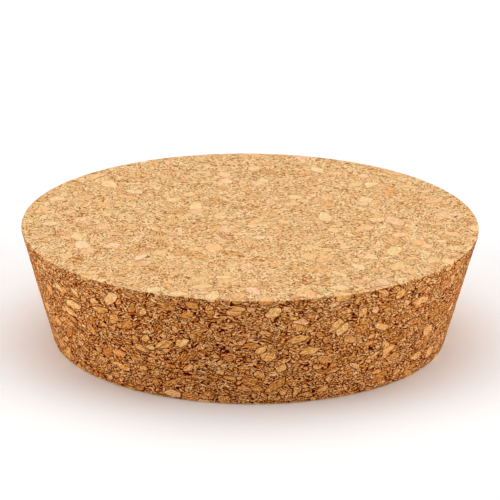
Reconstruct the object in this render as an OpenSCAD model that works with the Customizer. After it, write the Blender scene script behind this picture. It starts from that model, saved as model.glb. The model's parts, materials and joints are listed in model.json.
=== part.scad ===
// Tapered stopper of pressed cork granules, for a wide round jar mouth.
// One solid of revolution: a flat narrow foot, a straight tapered side and a
// flat wide top, with both rims lightly eased by sanding.
// Units are millimetres. The origin is the centre of the foot, +Z is up.

/* [Body] */
// Diameter of the wide top face, measured to its sharp corner
top_d = 100; // [90:0.5:150]
// Diameter of the narrow foot, measured to its sharp corner
foot_d = 86; // [50:0.5:88]
// Height from the foot to the top face
height = 25.7; // [12:0.1:60]

/* [Rims] */
// Radius that eases the top rim
top_rim_r = 0.4; // [0.2:0.1:2]
// Radius that eases the foot rim
foot_rim_r = 0.6; // [0.2:0.1:3]

/* [Hidden] */

// Colour of the pressed granules.
cork = [0.83, 0.62, 0.38];

// Facets of a full turn: round the stopper, and round the section of a rim.
around = 180;
rim_around = 48;

top_r = top_d / 2;
foot_r = foot_d / 2;

// The side leans outwards by this angle from the vertical.
taper = atan((top_r - foot_r) / height);

// Angle of cork inside each rim, between its face and the side.
top_rim_angle = 90 - taper;
foot_rim_angle = 90 + taper;

// Distance from a sharp corner to where its rounding touches the face and the side.
function setback(rim_r, rim_angle) = rim_r / tan(rim_angle / 2);
top_setback = setback(top_rim_r, top_rim_angle);
foot_setback = setback(foot_rim_r, foot_rim_angle);

// Point of the sharp side line at a given distance from the foot's or the top's corner.
function up_the_side(distance) = [foot_r + distance * sin(taper), distance * cos(taper)];
function down_the_side(distance) = [top_r - distance * sin(taper), height - distance * cos(taper)];

// Half of the section: straight faces and side, cut off at each rim from tangent
// point to tangent point, and a circle that fills each rim out to its rounding.
module half_section() {
    polygon([
        [0, 0],
        [foot_r - foot_setback, 0],
        up_the_side(foot_setback),
        down_the_side(top_setback),
        [top_r - top_setback, height],
        [0, height],
    ]);
    translate([foot_r - foot_setback, foot_rim_r])
        circle(r = foot_rim_r, $fn = rim_around);
    translate([top_r - top_setback, height - top_rim_r])
        circle(r = top_rim_r, $fn = rim_around);
}

module stopper() {
    color(cork)
        rotate_extrude($fn = around)
            half_section();
}

stopper();
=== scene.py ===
import json
import math

import bmesh
import bpy
from mathutils import Matrix, Vector


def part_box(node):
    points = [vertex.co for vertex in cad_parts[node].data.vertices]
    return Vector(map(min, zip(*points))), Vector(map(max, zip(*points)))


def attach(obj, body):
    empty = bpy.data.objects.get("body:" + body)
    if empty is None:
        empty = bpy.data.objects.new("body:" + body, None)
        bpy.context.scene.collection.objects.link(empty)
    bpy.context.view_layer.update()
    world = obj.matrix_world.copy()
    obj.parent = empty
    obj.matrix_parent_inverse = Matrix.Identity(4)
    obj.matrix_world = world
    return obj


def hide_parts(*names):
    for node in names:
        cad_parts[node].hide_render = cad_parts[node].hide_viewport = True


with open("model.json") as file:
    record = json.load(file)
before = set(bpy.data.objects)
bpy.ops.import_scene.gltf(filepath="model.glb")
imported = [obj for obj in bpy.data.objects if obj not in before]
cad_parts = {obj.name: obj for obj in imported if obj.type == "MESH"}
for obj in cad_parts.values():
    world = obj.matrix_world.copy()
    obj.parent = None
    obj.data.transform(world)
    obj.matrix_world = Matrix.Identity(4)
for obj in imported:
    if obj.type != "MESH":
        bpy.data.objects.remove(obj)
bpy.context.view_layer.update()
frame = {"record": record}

MM = 0.001
FULL_TURN = 2 * math.pi
SQUARE = math.radians(90)

# ---------------------------------------------------------------- sizes of the stopper

foot_corner_low, top_corner_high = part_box("stopper")
height = top_corner_high.z - foot_corner_low.z
mounts = {mount["name"]: mount for mount in frame["record"]["mounts"]}
middle_radius = mounts["jar_mouth_seat"]["dims"]["r_mm"] * MM

# The side leans out by this much, all the way from the foot to the top.
side_lean = math.radians(15.237)
foot_radius = middle_radius - height / 2 * math.tan(side_lean)
top_radius = middle_radius + height / 2 * math.tan(side_lean)
foot_rim_ease = 0.6 * MM
top_rim_ease = 0.4 * MM

# How fine the net of faces is.
around = 624
side_rows = 62
rim_segments = 4

# A point this near to a height counts as being at it.
near_enough = 0.01 * MM

# ---------------------------------------------------------------- node shorthand


def feed(tree, socket, value):
    """Links a socket to another one's output, or sets its plain value."""
    if isinstance(value, bpy.types.NodeSocket):
        tree.links.new(value, socket)
    else:
        socket.default_value = value


def math_node(tree, operation, *values):
    node = tree.nodes.new("ShaderNodeMath")
    node.operation = operation
    for socket, value in zip(node.inputs, values):
        feed(tree, socket, value)
    return node.outputs[0]


def add(tree, *values):
    total = values[0]
    for value in values[1:]:
        total = math_node(tree, "ADD", total, value)
    return total


def take(tree, value, less):
    return math_node(tree, "SUBTRACT", value, less)


def times(tree, first, second):
    return math_node(tree, "MULTIPLY", first, second)


def centred(tree, value):
    """Moves a value that runs from 0 to 1 so that it runs from -0.5 to 0.5."""
    return take(tree, value, 0.5)


def vector_node(tree, operation, *values, scale=None):
    node = tree.nodes.new("ShaderNodeVectorMath")
    node.operation = operation
    for socket, value in zip(node.inputs, values):
        feed(tree, socket, value)
    if scale is not None:
        feed(tree, node.inputs["Scale"], scale)
    return node.outputs["Value" if operation in ("LENGTH", "DOT_PRODUCT") else "Vector"]


def spread(tree, value, low, high, new_low=0.0, new_high=1.0, smooth=False):
    """Maps low..high to new_low..new_high, clamped at both ends."""
    node = tree.nodes.new("ShaderNodeMapRange")
    node.interpolation_type = "SMOOTHSTEP" if smooth else "LINEAR"
    for name, number in zip(("Value", "From Min", "From Max", "To Min", "To Max"),
                            (value, low, high, new_low, new_high)):
        feed(tree, node.inputs[name], number)
    return node.outputs["Result"]


def between(tree, share, at_none, at_all):
    """A number that runs from `at_none` to `at_all` as a share runs from 0 to 1."""
    return spread(tree, share, 0.0, 1.0, at_none, at_all)


def blend(tree, share, first, second):
    node = tree.nodes.new("ShaderNodeMix")
    node.data_type = "FLOAT"
    feed(tree, node.inputs[0], share)
    feed(tree, node.inputs[2], first)
    feed(tree, node.inputs[3], second)
    return node.outputs[0]


def blend_colour(tree, share, first, second, mode="MIX"):
    node = tree.nodes.new("ShaderNodeMix")
    node.data_type = "RGBA"
    node.blend_type = mode
    feed(tree, node.inputs[0], share)
    feed(tree, node.inputs[6], first)
    feed(tree, node.inputs[7], second)
    return node.outputs[2]


def noise(tree, place, grain, detail=1.0, roughness=0.6, colour=False):
    """Cloudy noise whose blobs are about `grain` long, in the unit of `place`."""
    node = tree.nodes.new("ShaderNodeTexNoise")
    feed(tree, node.inputs["Vector"], place)
    node.inputs["Scale"].default_value = 1 / grain
    node.inputs["Detail"].default_value = detail
    node.inputs["Roughness"].default_value = roughness
    return node.outputs["Color" if colour else "Fac"]


def cells(tree, place, size, feature="F1"):
    node = tree.nodes.new("ShaderNodeTexVoronoi")
    node.feature = feature
    feed(tree, node.inputs["Vector"], place)
    node.inputs["Scale"].default_value = 1 / size
    return node.outputs


def distance_to_next_cell(tree, place, size):
    return times(tree, cells(tree, place, size, "DISTANCE_TO_EDGE")["Distance"], size)


def chance(tree, seed):
    """Random numbers that are the same all over a cell: three as a colour, and a single one."""
    node = tree.nodes.new("ShaderNodeTexWhiteNoise")
    feed(tree, node.inputs["Vector"], seed)
    return node.outputs["Color"], node.outputs["Value"]


def split(tree, vector):
    node = tree.nodes.new("ShaderNodeSeparateXYZ")
    feed(tree, node.inputs[0], vector)
    return node.outputs


def join(tree, *parts):
    node = tree.nodes.new("ShaderNodeCombineXYZ")
    for socket, part in zip(node.inputs, parts):
        feed(tree, socket, part)
    return node.outputs["Vector"]


def off_centre(tree, seed):
    """The three random numbers of a cell, each moved to run from -0.5 to 0.5."""
    return vector_node(tree, "SUBTRACT", seed, (0.5, 0.5, 0.5))


def turn_own_way(tree, vector, seed, tilt):
    """Turns a place as its cell's seed says: any way round, and tilted by up to half of `tilt`."""
    node = tree.nodes.new("ShaderNodeVectorRotate")
    node.rotation_type = "EULER_XYZ"
    swing = vector_node(tree, "MULTIPLY", off_centre(tree, seed), (tilt, tilt, FULL_TURN))
    feed(tree, node.inputs["Vector"], vector)
    feed(tree, node.inputs["Rotation"], swing)
    return node.outputs[0]


def linear(colour):
    """A colour given as a screen shows it, 0 to 255, as linear light."""
    shares = [channel / 255 for channel in colour]
    return [s / 12.92 if s <= 0.04045 else ((s + 0.055) / 1.055) ** 2.4 for s in shares]


def ramp(tree, share, stops):
    node = tree.nodes.new("ShaderNodeValToRGB")
    feed(tree, node.inputs["Fac"], share)
    elements = node.color_ramp.elements
    while len(elements) < len(stops):
        elements.new(0.5)
    for element, (position, colour) in zip(elements, stops):
        element.position = position
        element.color = (*linear(colour), 1.0)
    return node.outputs["Color"]


# ---------------------------------------------------------------- granules of pressed cork

# Lengths in this part and the next are in millimetres.

# Granules come in three grades. A grade fills a share of its cells with one granule each, of
# about these half lengths, and `ragged` is how much of its size the granule's edge wanders.
grades = (
    dict(cell=1.5, share=0.42, half_lengths=(1.1, 0.5, 0.45), ragged=0.3),
    dict(cell=2.7, share=0.55, half_lengths=(2.1, 1.0, 0.8), ragged=0.28),
    dict(cell=4.8, share=0.75, half_lengths=(3.6, 1.9, 1.3), ragged=0.22),
)

# A granule's form is partly rounded and partly cut to corners. The ragged edge's grain is a share
# of the cell, and the tilt is from one side to the other, in radians.
rounded_share = 0.45
cornered_share = 0.4
ragged_grain = 0.3
granule_tilt = 2.2

# The depth that stands for no granule at all.
no_granule = -1.0

# The press bends the whole block a little, coarsely and then finely, and squeezes it in height.
bends = (
    dict(grain=1.6, reach=0.8),
    dict(grain=0.5, reach=0.15),
)
squeeze = (1.0, 1.0, 1.45)


def pressed_place(tree, place):
    """A place in millimetres, bent so that nothing is straight, and squeezed in height."""
    for bend in bends:
        cloud = noise(tree, place, bend["grain"], roughness=0.5, colour=True)
        sway = vector_node(tree, "SCALE", off_centre(tree, cloud), scale=bend["reach"])
        place = vector_node(tree, "ADD", place, sway)
    return vector_node(tree, "MULTIPLY", place, squeeze)


def granules(tree, place, cell, share, half_lengths, ragged):
    """Flat granules of one grade, each turned its own way.

    Gives the depth of a point inside its granule in millimetres (0 at the edge,
    negative outside), its distance from the next cell, three random numbers for
    the granule, and its place in the granule's own frame.
    """
    middle = cells(tree, place, cell)
    border = distance_to_next_cell(tree, place, cell)
    own = vector_node(tree, "SUBTRACT", place, middle["Position"])
    own = turn_own_way(tree, own, middle["Color"], granule_tilt)
    luck, single = chance(tree, middle["Color"])

    # Rounded as an ellipsoid is, and cornered as an octahedron is, with its points on the axes.
    way_out = vector_node(tree, "DIVIDE", own, half_lengths)
    rounded = vector_node(tree, "LENGTH", way_out)
    way_out = vector_node(tree, "ABSOLUTE", way_out)
    cornered = vector_node(tree, "DOT_PRODUCT", way_out, (1.0, 1.0, 1.0))
    reach = add(tree, times(tree, rounded, rounded_share), times(tree, cornered, cornered_share))
    rough_edge = noise(tree, place, cell * ragged_grain, detail=2.0, roughness=0.7)
    reach = add(tree, reach, times(tree, centred(tree, rough_edge), ragged))

    depth = times(tree, take(tree, 1.0, reach), min(half_lengths[:2]))
    present = math_node(tree, "LESS_THAN", single, share)
    depth = blend(tree, present, no_granule, depth)
    return depth, border, luck, own


# ---------------------------------------------------------------- cork material

# The end faces are sanded, from this far below the top and above the foot.
top_sanding_starts = 0.3
top_sanding_full = 0.15
foot_sanding_full = 0.2
foot_sanding_ends = 0.4

# Cracks gape wider in some places than in others, and less on the sanded faces. A cloud is the
# part of the noise over which they go from narrow to wide.
gape_grain = 0.8
gape_cloud = (0.44, 0.64)
gape_narrow = 0.01
gape_wide = 0.07
gape_when_sanded = 0.6
crumb_crack_edge = (-0.03, 0.01)

# A granule keeps a thin dark outline even where the cracks are closed.
outline_share_of_gape = 0.6
outline_on_side = 0.085
outline_when_sanded = 0.045
outline_runs_outside = 0.06
outline_edge = (-0.04, 0.02)

# Crumbs are slivers that lie one way within each patch.
patch_size = 2.6
patch_tilt = 1.6
patch_scatter = 40.0
crumb_size = 0.6
crumb_squeeze = (0.45, 1.05, 1.5)

# Grit lies in strokes along the crumbs, which are shorter on the sanded faces. Its dark flecks are
# partly painted shade in pits, and its pale flecks are partly painted highlights where crumbs face
# the light. The rest is the cork's own grain.
grit_and_painted_light_grain = 0.4
stroke_on_side = 0.4
stroke_when_sanded = 0.65
dark_flecks_and_pit_shade = (0.41, 0.47)
pale_flecks_and_highlights = (0.6, 0.66)
darkest_grit_and_pit_shade = -0.85
palest_grit_and_highlights = 0.28
grit_and_painted_light_on_side = 1.85
grit_and_painted_light_when_sanded = 0.9

# Tones run from 0, the dark of the bark, to 1, the palest cork. A crack is darker still.
crack_tone = -0.1
crumb_tones = (0.54, 0.98)
patch_tone_swing = 0.05
broad_grain = 5.0
broad_on_side = 0.05
broad_when_sanded = 0.4
darkest_granule_on_side = 0.4
darkest_granule_when_sanded = 0.3
palest_granule_on_side = 0.94
palest_granule_when_sanded = 1.05

# Hues run from 0 to 1 through the tints. Granules use them all, and crumbs only the yellow ones.
crumb_hues = (0.58, 0.9)

# What marks a granule: mottling, grit with its painted pit shade and painted highlights, streaks
# along it and, on some, growth stripes.
mottle_grain = 0.8
mottle_strength = 0.5
granule_grit_and_painted_light = 0.3
streak_grain = 0.5
streak_stretch = (0.35, 1.4, 1.4)
streak_strength = 1.2
stripe_spacing = 0.8
stripe_from = 0.2
stripe_strength = 0.35
unstriped_share = 0.65

# Granules cover the crumbs fully a little inside their edges. Sanding scratches them, so that
# crumbs show through them a little there.
cover_edge = 0.04
cover_when_sanded = 0.93

# Colours as a screen shows them, by tone. The palest stops also colour the painted highlights of the
# grit, and the darkest stops also colour its painted pit shade.
side_colours = (
    (0.0, (84, 6, 0)),
    (0.12, (142, 38, 0)),
    (0.26, (188, 77, 0)),
    (0.42, (219, 111, 10)),
    (0.58, (237, 145, 57)),
    (0.74, (249, 173, 99)),
    (0.88, (254, 197, 142)),
    (1.0, (255, 226, 186)),
)
granule_colours = (
    (0.0, (107, 31, 0)),
    (0.3, (203, 126, 58)),
    (0.55, (234, 165, 98)),
    (0.8, (253, 198, 140)),
    (1.0, (255, 224, 179)),
)
sanded_colours = (
    (0.0, (160, 92, 30)),
    (0.1, (214, 152, 94)),
    (0.25, (240, 187, 136)),
    (0.5, (251, 203, 158)),
    (0.8, (255, 217, 176)),
    (1.0, (255, 232, 199)),
)

# Tints by hue, from rosy through yellow to orange. They are laid over the colours.
tints = (
    (0.0, (255, 247, 250)),
    (0.15, (255, 252, 244)),
    (0.5, (252, 255, 230)),
    (0.8, (255, 251, 230)),
    (1.0, (255, 240, 210)),
)

# Raw cork hardly shines, and its dark parts least.
gloss_level = 0.04
roughness_of_dark = 0.95
roughness_of_pale = 0.72
bump_height = 0.05


def sanded_share(tree, place):
    """1 on the two sanded end faces and 0 on the side."""
    up = split(tree, place)["Z"]
    top = height / MM
    at_top = spread(tree, up, top - top_sanding_starts, top - top_sanding_full)
    at_foot = spread(tree, up, foot_sanding_full, foot_sanding_ends, 1.0, 0.0)
    return math_node(tree, "MAXIMUM", at_top, at_foot)


def cracked(tree, distance, edge, tone):
    """The tone, gone dark where the distance from a crack is less than the edge of the crack."""
    inside, outside = edge
    return blend(tree, spread(tree, distance, inside, outside), crack_tone, tone)


def crumb_bed(tree, place, pressed, sanded, gape):
    """The tone and hue of the crumbs, and the grit that lies over everything, whose dark and pale
    flecks are partly painted pit shade and painted highlights.
    """
    patch = cells(tree, pressed, patch_size)
    patch_luck, patch_pick = chance(tree, patch["Color"])
    crumb_place = vector_node(tree, "SUBTRACT", pressed, patch["Position"])
    crumb_place = turn_own_way(tree, crumb_place, patch["Color"], patch_tilt)
    scatter = vector_node(tree, "SCALE", patch_luck, scale=patch_scatter)
    crumb_place = vector_node(tree, "ADD", crumb_place, scatter)
    crumb_place = vector_node(tree, "MULTIPLY", crumb_place, crumb_squeeze)
    crumb = cells(tree, crumb_place, crumb_size)
    crumb_pick = chance(tree, crumb["Color"])[1]

    lengthways, sideways, upwards = split(tree, crumb_place)
    stroke = between(tree, sanded, stroke_on_side, stroke_when_sanded)
    strokes = join(tree, times(tree, lengthways, stroke), sideways, upwards)
    # Dark flecks are partly painted shade in pits, and pale flecks are partly painted highlights.
    flecks = noise(tree, strokes, grit_and_painted_light_grain)
    dark_grit_and_pit_shade = spread(tree, flecks, *dark_flecks_and_pit_shade, darkest_grit_and_pit_shade, 0.0, smooth=True)
    pale_grit_and_highlights = spread(tree, flecks, *pale_flecks_and_highlights, 0.0, palest_grit_and_highlights, smooth=True)
    grit_and_painted_light = add(tree, dark_grit_and_pit_shade, pale_grit_and_highlights)

    broad = centred(tree, noise(tree, place, broad_grain, roughness=0.5))
    tone = add(
        tree,
        between(tree, crumb_pick, *crumb_tones),
        times(tree, centred(tree, patch_pick), patch_tone_swing),
        times(tree, grit_and_painted_light, between(tree, sanded, grit_and_painted_light_on_side, grit_and_painted_light_when_sanded)),
        times(tree, broad, between(tree, sanded, broad_on_side, broad_when_sanded)))
    crack = take(tree, distance_to_next_cell(tree, crumb_place, crumb_size), gape)
    tone = cracked(tree, crack, crumb_crack_edge, tone)
    hue = between(tree, patch_pick, *crumb_hues)
    return tone, hue, grit_and_painted_light


def granule_marks(tree, own, mottle, grit_and_painted_light, striped_pick):
    """What mottling, grit with its painted shade and highlights, streaks and stripes add to the tone
    of a granule.
    """
    sideways = split(tree, own)["Y"]
    upwards = split(tree, own)["Z"]
    wave = times(tree, add(tree, sideways, upwards, mottle), FULL_TURN / stripe_spacing)
    stripe = spread(tree, math_node(tree, "SINE", wave), stripe_from, 1.0, 0.0, -1.0)
    striped = math_node(tree, "GREATER_THAN", striped_pick, unstriped_share)
    along_it = vector_node(tree, "MULTIPLY", own, streak_stretch)
    streaks = centred(tree, noise(tree, along_it, streak_grain))
    return (
        times(tree, mottle, mottle_strength),
        times(tree, grit_and_painted_light, granule_grit_and_painted_light),
        times(tree, stripe, times(tree, striped, stripe_strength)),
        times(tree, streaks, streak_strength),
    )


def cork_material():
    material = bpy.data.materials.new("pressed cork")
    material.use_nodes = True
    tree = material.node_tree
    tree.nodes.clear()

    where = tree.nodes.new("ShaderNodeTexCoord").outputs["Object"]
    place = vector_node(tree, "SCALE", where, scale=1 / MM)
    pressed = pressed_place(tree, place)
    sanded = sanded_share(tree, place)

    cloud = noise(tree, place, gape_grain, detail=2.0)
    gape = spread(tree, cloud, *gape_cloud, gape_narrow, gape_wide)
    gape = times(tree, gape, between(tree, sanded, 1.0, gape_when_sanded))
    outline = add(tree, times(tree, gape, outline_share_of_gape),
                  between(tree, sanded, outline_on_side, outline_when_sanded))

    tone, hue, grit_and_painted_light = crumb_bed(tree, place, pressed, sanded, gape)

    # Granules of growing size lie over the crumbs.
    mottle = centred(tree, noise(tree, place, mottle_grain, detail=3.0, roughness=0.7))
    darkest = between(tree, sanded, darkest_granule_on_side, darkest_granule_when_sanded)
    palest = between(tree, sanded, palest_granule_on_side, palest_granule_when_sanded)
    clearness = between(tree, sanded, 1.0, cover_when_sanded)
    granule_cover = 0.0
    for grade in grades:
        depth, border, luck, own = granules(tree, pressed, **grade)
        tone_pick, striped_pick, hue_pick = split(tree, luck)
        just_outside = math_node(tree, "ABSOLUTE", add(tree, depth, outline_runs_outside))
        tone = cracked(tree, take(tree, just_outside, outline), outline_edge, tone)
        granule_tone = add(tree, between(tree, tone_pick, darkest, palest),
                           *granule_marks(tree, own, mottle, grit_and_painted_light, striped_pick))
        granule_tone = cracked(tree, take(tree, border, outline), outline_edge, granule_tone)
        cover = times(tree, spread(tree, depth, 0.0, cover_edge), clearness)
        tone = blend(tree, cover, tone, granule_tone)
        hue = blend(tree, cover, hue, hue_pick)
        granule_cover = math_node(tree, "MAXIMUM", granule_cover, cover)

    side_colour = blend_colour(tree, granule_cover, ramp(tree, tone, side_colours),
                               ramp(tree, tone, granule_colours))
    colour = blend_colour(tree, sanded, side_colour, ramp(tree, tone, sanded_colours))
    colour = blend_colour(tree, 1.0, colour, ramp(tree, hue, tints), "MULTIPLY")

    bump = tree.nodes.new("ShaderNodeBump")
    bump.inputs["Strength"].default_value = 1.0
    bump.inputs["Distance"].default_value = bump_height * MM
    feed(tree, bump.inputs["Height"], tone)

    shader = tree.nodes.new("ShaderNodeBsdfPrincipled")
    shader.inputs["Specular IOR Level"].default_value = gloss_level
    feed(tree, shader.inputs["Base Color"], colour)
    feed(tree, shader.inputs["Roughness"], between(tree, tone, roughness_of_dark, roughness_of_pale))
    feed(tree, shader.inputs["Normal"], bump.outputs["Normal"])
    out = tree.nodes.new("ShaderNodeOutputMaterial")
    tree.links.new(shader.outputs[0], out.inputs["Surface"])
    return material


# ---------------------------------------------------------------- stopper

# How far the surface is sunk below the turned form, in millimetres. A grain is about how long
# dips or pits are, and a cloud is the part of the noise over which they go from end to end.
sunk_everywhere = 0.02
crumbs_sunk_most = 0.16
crumbs_sunk_least = 0.06
dip_grain = 0.9
dip_cloud = (0.35, 0.65)
granules_sunk_most = 0.06
granule_shoulder = 0.3
pits_sunk = 0.3
pit_grain = 1.4
pit_cloud = (0.62, 0.76)
sanded_relief = 0.3
sanded_slope = (0.35, 0.9)

# Faces that point up or down more than this are end faces on the bake map.
end_face_slope = 0.75


def deselect():
    if bpy.context.object is not None and bpy.context.object.mode != "OBJECT":
        bpy.ops.object.mode_set(mode="OBJECT")
    bpy.ops.object.select_all(action="DESELECT")


def pick_edges(piece, wanted):
    """Selects, in edit mode, the edges that `wanted` says yes to."""
    bpy.ops.object.mode_set(mode="EDIT")
    bpy.ops.mesh.select_mode(type="EDGE")
    bpy.ops.mesh.select_all(action="DESELECT")
    shell = bmesh.from_edit_mesh(piece.data)
    for edge in shell.edges:
        edge.select_set(wanted(edge))
    bmesh.update_edit_mesh(piece.data)


def pick_end_face(piece, level):
    """Selects, in edit mode, the one big face that closes an end."""
    bpy.ops.mesh.select_mode(type="FACE")
    bpy.ops.mesh.select_all(action="DESELECT")
    shell = bmesh.from_edit_mesh(piece.data)
    for face in shell.faces:
        at_level = abs(face.calc_center_median().z - level) < near_enough
        face.select_set(len(face.verts) > 4 and at_level)
    bmesh.update_edit_mesh(piece.data)


def lies_at(level):
    """Says whether an edge lies flat at a height."""
    return lambda edge: all(abs(vert.co.z - level) < near_enough for vert in edge.verts)


def ease_rim(piece, level, radius, corner):
    """Rounds the rim at a height, where the two faces meet at the angle `corner`."""
    pick_edges(piece, lies_at(level))
    setback = radius / math.tan(corner / 2)
    bpy.ops.mesh.bevel(offset=setback, segments=rim_segments, profile=0.5, affect="EDGES")


def turned_blank():
    """The tapered body with its two eased rims, in an even net of small faces."""
    deselect()
    bpy.ops.mesh.primitive_cone_add(
        vertices=around, radius1=foot_radius, radius2=top_radius, depth=height,
        end_fill_type="NGON", location=(0, 0, height / 2))
    blank = bpy.context.object
    blank.name = "stopper_body"
    bpy.ops.object.transform_apply(location=True)

    ease_rim(blank, height, top_rim_ease, SQUARE - side_lean)
    ease_rim(blank, 0, foot_rim_ease, SQUARE + side_lean)

    # The long edges of the side are cut into rows.
    pick_edges(blank, lambda edge: edge.calc_length() > height / 2)
    bpy.ops.mesh.subdivide(number_cuts=side_rows - 1)

    # Each end face is filled again with a grid.
    for level in (height, 0):
        pick_end_face(blank, level)
        bpy.ops.mesh.delete(type="ONLY_FACE")
        pick_edges(blank, lambda edge: edge.is_boundary and lies_at(level)(edge))
        bpy.ops.mesh.fill_grid(span=around // 4)
    bpy.ops.mesh.select_all(action="SELECT")
    bpy.ops.mesh.normals_make_consistent(inside=False)
    bpy.ops.object.mode_set(mode="OBJECT")
    return blank


def lay_bake_map(piece):
    """A flat map for baking: both end faces whole and the side in two strips, all at one scale."""
    gap = 1.0 * MM
    strip_radius = (top_radius + foot_radius) / 2
    sheet = 2 * top_radius + 2 * foot_radius + 3 * gap
    layer = piece.data.uv_layers.new(name="OFBake")
    for face in piece.data.polygons:
        at_front = face.center.y < 0
        for corner in face.loop_indices:
            x, y, z = piece.data.vertices[piece.data.loops[corner].vertex_index].co
            if face.normal.z > end_face_slope:
                across = gap + top_radius + x
                up = sheet - gap - top_radius + y
            elif face.normal.z < -end_face_slope:
                across = sheet - gap - foot_radius + x
                up = sheet - gap - foot_radius - y
            else:
                bearing = math.atan2(x, -y) if at_front else math.atan2(-x, y)
                across = gap + strip_radius * (math.pi / 2 + bearing)
                up = gap + z / math.cos(side_lean)
                if at_front:
                    up += height / math.cos(side_lean) + gap
            layer.uv[corner].vector = (across / sheet, up / sheet)


def granule_relief():
    """Geometry nodes that sink the surface between the granules, and never raise it."""
    tree = bpy.data.node_groups.new("granule relief", "GeometryNodeTree")
    tree.interface.new_socket("Mesh", in_out="INPUT", socket_type="NodeSocketGeometry")
    tree.interface.new_socket("Mesh", in_out="OUTPUT", socket_type="NodeSocketGeometry")
    mesh_in = tree.nodes.new("NodeGroupInput").outputs["Mesh"]
    mesh_out = tree.nodes.new("NodeGroupOutput").inputs["Mesh"]
    where = tree.nodes.new("GeometryNodeInputPosition").outputs[0]
    facing = tree.nodes.new("GeometryNodeInputNormal").outputs[0]
    pressed = pressed_place(tree, vector_node(tree, "SCALE", where, scale=1 / MM))

    dips = noise(tree, pressed, dip_grain, detail=2.0)
    sunk = spread(tree, dips, *dip_cloud, crumbs_sunk_most, crumbs_sunk_least)
    for grade in grades:
        depth, _, luck, _ = granules(tree, pressed, **grade)
        pick = split(tree, luck)["Z"]
        cover = spread(tree, depth, 0.0, granule_shoulder, smooth=True)
        sunk = blend(tree, cover, sunk, times(tree, pick, granules_sunk_most))
    pits = noise(tree, pressed, pit_grain)
    sunk = add(tree, sunk, spread(tree, pits, *pit_cloud, 0.0, pits_sunk, smooth=True))

    # The sanded faces are nearly flat, and so is a band along each rim.
    upright = math_node(tree, "ABSOLUTE", split(tree, facing)["Z"])
    sunk = times(tree, sunk, spread(tree, upright, *sanded_slope, 1.0, sanded_relief))
    sunk = add(tree, sunk, sunk_everywhere)

    mover = tree.nodes.new("GeometryNodeSetPosition")
    shift = vector_node(tree, "SCALE", facing, scale=times(tree, sunk, -MM))
    tree.links.new(mesh_in, mover.inputs["Geometry"])
    feed(tree, mover.inputs["Offset"], shift)
    tree.links.new(mover.outputs["Geometry"], mesh_out)
    return tree


def add_relief(piece):
    bpy.ops.object.mode_set(mode="OBJECT")
    relief = piece.modifiers.new("granule relief", "NODES")
    relief.node_group = granule_relief()
    bpy.ops.object.modifier_apply(modifier=relief.name)
    bpy.ops.object.shade_smooth()


body = turned_blank()
lay_bake_map(body)
add_relief(body)

body.data.materials.append(cork_material())
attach(body, "root")
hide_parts("stopper")

# ---------------------------------------------------------------- floor, light, camera

# How white the floor is in the light that it gives back, and how white it looks.
floor_size = 6.0
floor_white = 0.85
floor_seen = 1.045
background_white = 1.0

# One soft light above and one on each side. Each is full up to one angle from its middle and
# ends at another, both given as cosines.
ambient = 0.18
panels = (
    dict(towards=(0, 0.2, 1), ends=0.6, full=0.98, strength=2.15),
    dict(towards=(-1, -0.2, 0), ends=0.8, full=0.98, strength=6.5),
    dict(towards=(1, -0.2, 0), ends=0.8, full=0.98, strength=6.5),
)

# A long lens from well off, aimed a little below the middle of the top.
camera_elevation = math.radians(19.19)
camera_roll = math.radians(0.49)
camera_distance = 0.8026
camera_lens = 265.2
camera_sensor = 36
camera_near_end = 0.05
aim_below_top = 6.01 * MM


def background_rays(tree):
    """1 for the rays that show the plain background: seen, mirrored or through glass."""
    path = tree.nodes.new("ShaderNodeLightPath").outputs
    seen = math_node(tree, "MAXIMUM", path["Is Camera Ray"], path["Is Glossy Ray"])
    return math_node(tree, "MAXIMUM", seen, path["Is Transmission Ray"])


def lay_floor():
    deselect()
    bpy.ops.mesh.primitive_plane_add(size=floor_size, location=(0, 0, 0))
    floor = bpy.context.object
    floor.name = "floor"
    material = bpy.data.materials.new("white floor")
    material.use_nodes = True
    tree = material.node_tree
    tree.nodes.clear()
    paper = tree.nodes.new("ShaderNodeBsdfDiffuse")
    feed(tree, paper.inputs["Color"], blend(tree, background_rays(tree), floor_white, floor_seen))
    out = tree.nodes.new("ShaderNodeOutputMaterial")
    tree.links.new(paper.outputs[0], out.inputs["Surface"])
    floor.data.materials.append(material)


def soft_panel(tree, direction, towards, ends, full, strength):
    """A soft-edged patch of light round one direction of the sky."""
    facing = vector_node(tree, "DOT_PRODUCT", direction, Vector(towards).normalized())
    return spread(tree, facing, ends, full, 0.0, strength, smooth=True)


def light_the_room():
    world = bpy.data.worlds.new("studio")
    bpy.context.scene.world = world
    world.use_nodes = True
    tree = world.node_tree
    tree.nodes.clear()
    direction = tree.nodes.new("ShaderNodeTexCoord").outputs["Generated"]
    glow = add(tree, ambient, *(soft_panel(tree, direction, **panel) for panel in panels))
    sky = tree.nodes.new("ShaderNodeBackground")
    feed(tree, sky.inputs["Strength"], blend(tree, background_rays(tree), glow, background_white))
    out = tree.nodes.new("ShaderNodeOutputWorld")
    tree.links.new(sky.outputs[0], out.inputs["Surface"])


def place_camera():
    back = Vector((0, -math.cos(camera_elevation), math.sin(camera_elevation)))
    level = Vector((1, 0, 0))
    upright = Vector((0, math.sin(camera_elevation), math.cos(camera_elevation)))
    right = level * math.cos(camera_roll) + upright * math.sin(camera_roll)
    up = upright * math.cos(camera_roll) - level * math.sin(camera_roll)
    aim = Vector((0, 0, height)) - up * aim_below_top
    data = bpy.data.cameras.new("camera")
    data.lens = camera_lens
    data.sensor_width = camera_sensor
    data.clip_start = camera_near_end
    camera = bpy.data.objects.new("camera", data)
    bpy.context.scene.collection.objects.link(camera)
    camera.rotation_euler = Matrix((right, up, back)).transposed().to_euler()
    camera.location = aim + back * camera_distance
    bpy.context.scene.camera = camera


lay_floor()
light_the_room()
place_camera()
bpy.context.scene.view_settings.view_transform = "Standard"
